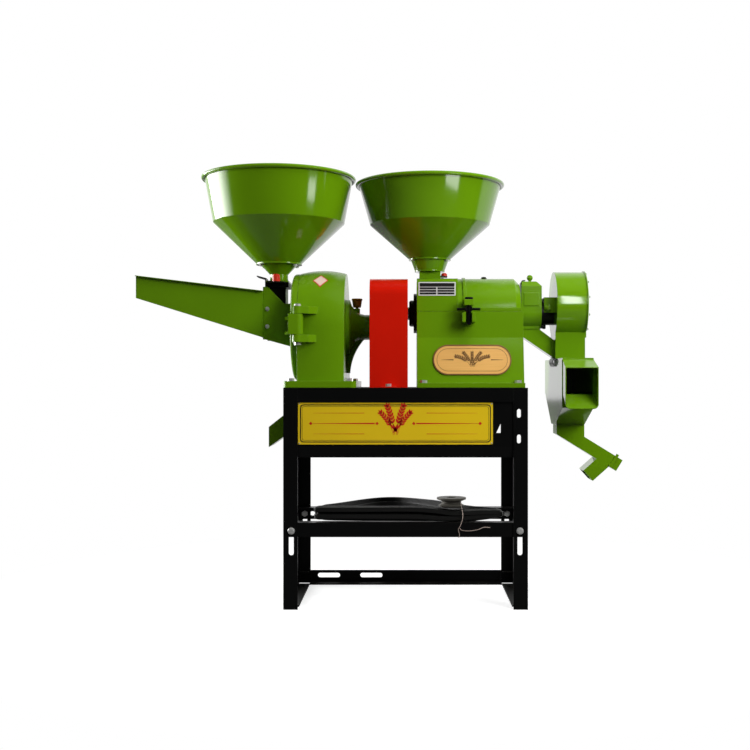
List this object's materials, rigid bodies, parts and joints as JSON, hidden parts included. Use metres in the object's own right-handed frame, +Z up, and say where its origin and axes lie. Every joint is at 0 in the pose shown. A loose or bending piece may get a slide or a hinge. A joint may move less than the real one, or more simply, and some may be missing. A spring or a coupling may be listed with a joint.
{
  "type": "rice huller",
  "caption": "Combined rice mill and tooth crusher on a black angle-iron frame, with green hoppers, trough, fan separator, red belt guard and a motor shelf.",
  "frame": {"origin": "centre of the frame's footprint on the floor, midway between the anchor holes", "axes": "+X to the fan end, +Y to the back, +Z up"},
  "size_m": [1.2714, 0.435, 1.1142],
  "materials": {
    "green_paint": "glossy",
    "black_paint": "satin",
    "red_paint": "glossy",
    "bright_steel": "zinc plated",
    "cast_iron": "raw",
    "belt_rubber": "matt",
    "bronze_cup": "oxide"
  },
  "bodies": {
    "frame": {"crusher_housing": "green_paint", "crusher_bearing_arm": "green_paint", "discharge_chute": "green_paint", "mill_body": "green_paint", "outlet_head": "green_paint", "fan_housing": "green_paint", "fan_cover": "green_paint", "rice_chute": "green_paint", "separator_box": "green_paint", "separator_hood": "green_paint", "divided_spout": "green_paint", "leg_front_left": "black_paint", "leg_front_right": "black_paint", "leg_rear_left": "black_paint", "leg_rear_right": "black_paint", "table_rail_front": "black_paint", "table_rail_rear": "black_paint", "table_cross_rails": "black_paint", "front_panel": "black_paint", "floor_rails": "black_paint", "mill_bearing_flange": "black_paint", "fan_bearing_housing": "black_paint", "belt_guard": "red_paint", "base_bolts": "bright_steel", "door_hinge_pin": "bright_steel", "lid_hinge_pin": "bright_steel", "sieve_ring": "bright_steel", "rice_screen": "bright_steel", "shaft_bearings": "bright_steel"},
    "motor_shelf": {"shelf_rail_front": "black_paint", "shelf_rail_rear": "black_paint", "shelf_bolts": "bright_steel", "spare_belts": "belt_rubber", "spare_pulley": "cast_iron"},
    "crusher_rotor": {"crusher_shaft": "bright_steel", "rotor_disc": "cast_iron", "crusher_pulley": "cast_iron"},
    "door": {"crusher_door": "green_paint", "stator_plate": "cast_iron", "feed_inlet": "green_paint", "inlet_neck": "black_paint", "feed_trough": "green_paint", "feed_collar": "green_paint", "feed_hopper": "green_paint"},
    "door_clamp": {"door_clamp_screw": "black_paint"},
    "feed_slide": {"feed_gate": "black_paint"},
    "trough_slide": {"trough_gate": "black_paint"},
    "grease_screw": {"grease_cup": "bronze_cup"},
    "mill_rotor": {"mill_shaft": "bright_steel", "mill_roller": "cast_iron", "mill_pulley": "cast_iron", "fan_impeller": "bright_steel"},
    "lid": {"mill_lid": "green_paint", "mill_collar": "green_paint", "mill_hopper": "green_paint"},
    "mill_slide": {"mill_gate": "black_paint"},
    "lid_clamp": {"lid_clamp_screw": "black_paint"},
    "pressure_slide": {"pressure_gate": "green_paint"},
    "diverter": {"diverter_flap": "black_paint"},
    "knife": {"rice_knife": "bright_steel"}
  },
  "joints": [
    {"name": "shelf_height", "type": "slide", "parent": "frame", "child": "motor_shelf", "axis": [0, 0, -1], "range_m": [0, 0.05]},
    {"name": "crusher_spin", "type": "hinge", "parent": "frame", "child": "crusher_rotor", "pos_m": [-0.2, 0, 0.715], "axis": [1, 0, 0], "continuous": true},
    {"name": "door_swing", "type": "hinge", "parent": "frame", "child": "door", "pos_m": [-0.272, -0.165, 0.715], "axis": [0, 0, 1], "range_deg": [0, 110]},
    {"name": "door_clamp_turn", "type": "hinge", "parent": "door", "child": "door_clamp", "pos_m": [-0.3, 0.165, 0.715], "axis": [1, 0, 0], "continuous": true},
    {"name": "feed_gate_pull", "type": "slide", "parent": "door", "child": "feed_slide", "axis": [0, -1, 0], "range_m": [0, 0.05]},
    {"name": "trough_gate_lower", "type": "slide", "parent": "door", "child": "trough_slide", "axis": [0, 0, -1], "range_m": [0, 0.05]},
    {"name": "grease_cup_turn", "type": "hinge", "parent": "frame", "child": "grease_screw", "pos_m": [-0.13, 0, 0.77], "axis": [0, 0, 1], "continuous": true},
    {"name": "mill_spin", "type": "hinge", "parent": "frame", "child": "mill_rotor", "pos_m": [0.2, 0, 0.752], "axis": [1, 0, 0], "continuous": true},
    {"name": "lid_swing", "type": "hinge", "parent": "frame", "child": "lid", "pos_m": [0.16, 0.104, 0.752], "axis": [-1, 0, 0], "range_deg": [0, 80]},
    {"name": "mill_gate_pull", "type": "slide", "parent": "lid", "child": "mill_slide", "axis": [1, 0, 0], "range_m": [0, 0.042]},
    {"name": "lid_clamp_turn", "type": "hinge", "parent": "lid", "child": "lid_clamp", "pos_m": [0.161, -0.128, 0.755], "axis": [0, 0, 1], "continuous": true},
    {"name": "pressure_gate_lift", "type": "slide", "parent": "frame", "child": "pressure_slide", "axis": [0, 0, 1], "range_m": [0, 0.02]},
    {"name": "diverter_turn", "type": "hinge", "parent": "frame", "child": "diverter", "pos_m": [0.54102, 0, 0.34952], "axis": [0, 1, 0], "range_deg": [0, 36]},
    {"name": "knife_feed", "type": "slide", "parent": "frame", "child": "knife", "axis": [0, -1, 0], "range_m": [0, 0.004]}
  ]
}
